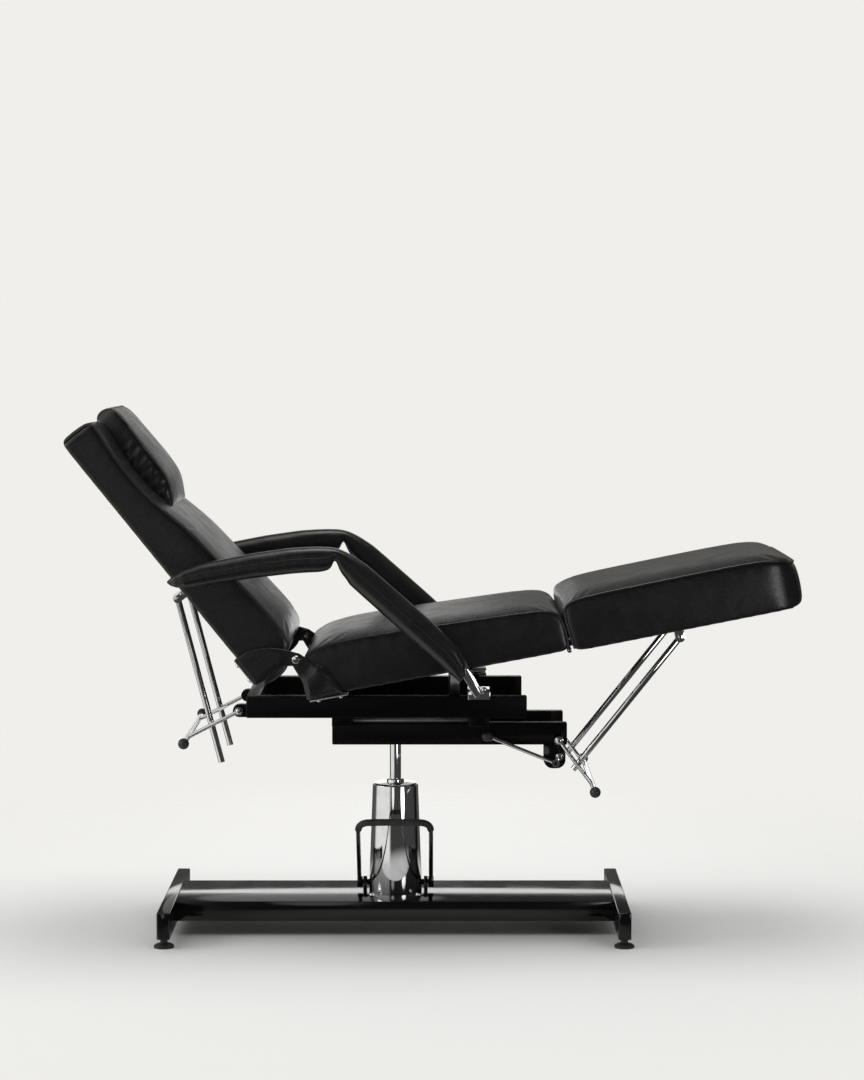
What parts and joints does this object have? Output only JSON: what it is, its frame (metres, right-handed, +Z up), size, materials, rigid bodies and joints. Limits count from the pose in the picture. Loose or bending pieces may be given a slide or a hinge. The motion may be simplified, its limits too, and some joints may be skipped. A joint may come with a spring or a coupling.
{
  "type": "podiatry chair",
  "caption": "Black padded podiatry chair on a chrome hydraulic column, with reclining back, head pillow, leg rest, jointed armrests, slide rods and release handles.",
  "frame": {"origin": "on the floor, under the middle of the chair's length and width", "axes": "+X to the foot end, +Y to the chair's far side in the picture, +Z up"},
  "size_m": [1.7095, 0.7256, 1.2536],
  "materials": {
    "leather": "soft sheen artificial leather",
    "paint": "gloss powder coat",
    "chrome": "polished",
    "steel": "zinc plated, satin",
    "plastic": "smooth",
    "rubber": "matt",
    "plywood": "black stained board"
  },
  "bodies": {
    "base": {"base_deck": "paint", "cross_foot_rear": "paint", "cross_foot_front": "paint", "pump_body": "steel", "pump_cover": "chrome", "pedal_bearing_left": "paint", "pedal_bearing_right": "paint"},
    "pedal": {"pedal_frame": "chrome", "pedal_grip": "rubber"},
    "ram": {"ram": "chrome"},
    "carriage": {"mount_plate": "steel", "lower_frame": "paint", "upper_frame": "paint", "bearer_rear": "paint", "bearer_front": "paint", "lever_bracket": "paint", "seat_board": "plywood", "seat_cushion": "leather", "seat_riser": "paint", "seat_ear_left": "leather", "seat_ear_right": "leather", "hinge_bolt_left": "chrome", "hinge_bolt_right": "chrome", "arm_bracket_left": "steel", "arm_bracket_right": "steel", "seat_leaf": "chrome"},
    "lock_lever": {"lock_lever": "chrome", "lock_knob": "plastic"},
    "back": {"back_board": "plywood", "back_cushion": "leather", "head_pillow": "leather", "back_ear_left": "leather", "back_ear_right": "leather", "back_rod_bracket_left": "steel", "back_rod_bracket_right": "steel", "arm_stud_left": "steel", "arm_stud_right": "steel"},
    "back_rods": {"back_rod_left": "chrome", "back_rod_right": "chrome"},
    "rear_handle": {"rear_handle": "chrome", "rear_knob_left": "plastic", "rear_knob_right": "plastic"},
    "leg_rest": {"leg_board": "plywood", "leg_cushion": "leather", "leg_leaf": "chrome", "leg_rod_bracket_left": "steel", "leg_rod_bracket_right": "steel"},
    "leg_rods": {"leg_rod_left": "chrome", "leg_rod_right": "chrome"},
    "front_handle": {"front_handle": "chrome", "front_knob_left": "plastic", "front_knob_right": "plastic"},
    "arm_lower_left": {"arm_lower_pad_left": "leather"},
    "arm_lower_right": {"arm_lower_pad_right": "leather"},
    "arm_upper_left": {"arm_upper_pad_left": "leather"},
    "arm_upper_right": {"arm_upper_pad_right": "leather"},
    "level_foot_rear_left": {"level_foot_rear_left": "plastic"},
    "level_foot_rear_right": {"level_foot_rear_right": "plastic"},
    "level_foot_front_left": {"level_foot_front_left": "plastic"},
    "level_foot_front_right": {"level_foot_front_right": "plastic"}
  },
  "joints": [
    {"name": "level_foot_rear_left_screw", "type": "slide", "parent": "base", "child": "level_foot_rear_left", "axis": [0, 0, -1], "range_m": [0, 0.012]},
    {"name": "level_foot_rear_right_screw", "type": "slide", "parent": "base", "child": "level_foot_rear_right", "axis": [0, 0, -1], "range_m": [0, 0.012]},
    {"name": "level_foot_front_left_screw", "type": "slide", "parent": "base", "child": "level_foot_front_left", "axis": [0, 0, -1], "range_m": [0, 0.012]},
    {"name": "level_foot_front_right_screw", "type": "slide", "parent": "base", "child": "level_foot_front_right", "axis": [0, 0, -1], "range_m": [0, 0.012]},
    {"name": "pedal_press", "type": "hinge", "parent": "base", "child": "pedal", "pos_m": [-0.0934, 0, 0.105], "axis": [1, 0, 0], "range_deg": [0, 22], "stiffness_Nm_per_rad": 12, "springref_deg": -17.19},
    {"name": "ram_lift", "type": "slide", "parent": "base", "child": "ram", "axis": [0, 0, 1], "range_m": [-0.06, 0.12]},
    {"name": "swivel", "type": "hinge", "parent": "ram", "child": "carriage", "pos_m": [-0.0934, 0, 0.455], "axis": [0, 0, 1], "continuous": true},
    {"name": "lock_lever_turn", "type": "hinge", "parent": "carriage", "child": "lock_lever", "pos_m": [0.2866, -0.1375, 0.412], "axis": [0, -1, 0], "range_deg": [0, 30]},
    {"name": "back_recline", "type": "hinge", "parent": "carriage", "child": "back", "pos_m": [-0.319, 0, 0.6745], "axis": [0, -1, 0], "range_deg": [-17, 30]},
    {"name": "back_rod_swing", "type": "hinge", "parent": "back", "child": "back_rods", "pos_m": [-0.6024, 0, 0.8045], "axis": [0, -1, 0], "range_deg": [-8, 5]},
    {"name": "rear_handle_lift", "type": "hinge", "parent": "carriage", "child": "rear_handle", "pos_m": [-0.4584, 0, 0.54], "axis": [0, 1, 0], "range_deg": [0, 12]},
    {"name": "leg_rest_fold", "type": "hinge", "parent": "carriage", "child": "leg_rest", "pos_m": [0.3157, 0, 0.6861], "axis": [0, 1, 0], "range_deg": [0, 62]},
    {"name": "leg_rod_swing", "type": "hinge", "parent": "leg_rest", "child": "leg_rods", "pos_m": [0.5776, 0, 0.7121], "axis": [0, -1, 0], "range_deg": [-1, 33]},
    {"name": "front_handle_lift", "type": "hinge", "parent": "carriage", "child": "front_handle", "pos_m": [0.2926, 0, 0.4705], "axis": [0, -1, 0], "range_deg": [0, 12]},
    {"name": "arm_lower_left_swing", "type": "hinge", "parent": "carriage", "child": "arm_lower_left", "pos_m": [0.0616, -0.333, 0.664], "axis": [0, -1, 0], "range_deg": [-13, 23]},
    {"name": "arm_upper_left_bend", "type": "hinge", "parent": "arm_lower_left", "child": "arm_upper_left", "pos_m": [-0.2114, -0.333, 0.907], "axis": [0, -1, 0], "range_deg": [-17.5, 10]},
    {"name": "arm_lower_right_swing", "type": "hinge", "parent": "carriage", "child": "arm_lower_right", "pos_m": [0.0616, 0.333, 0.664], "axis": [0, -1, 0], "range_deg": [-13, 23]},
    {"name": "arm_upper_right_bend", "type": "hinge", "parent": "arm_lower_right", "child": "arm_upper_right", "pos_m": [-0.2114, 0.333, 0.907], "axis": [0, -1, 0], "range_deg": [-17.5, 10]}
  ],
  "couplings": [
    {"joint": "back_rod_swing", "follows": "back_recline", "ratio": -0.25},
    {"joint": "leg_rod_swing", "follows": "leg_rest_fold", "ratio": 0.51},
    {"joint": "arm_lower_left_swing", "follows": "back_recline", "ratio": 0.749},
    {"joint": "arm_upper_left_bend", "follows": "back_recline", "ratio": -0.559},
    {"joint": "arm_lower_right_swing", "follows": "back_recline", "ratio": 0.749},
    {"joint": "arm_upper_right_bend", "follows": "back_recline", "ratio": -0.559}
  ]
}
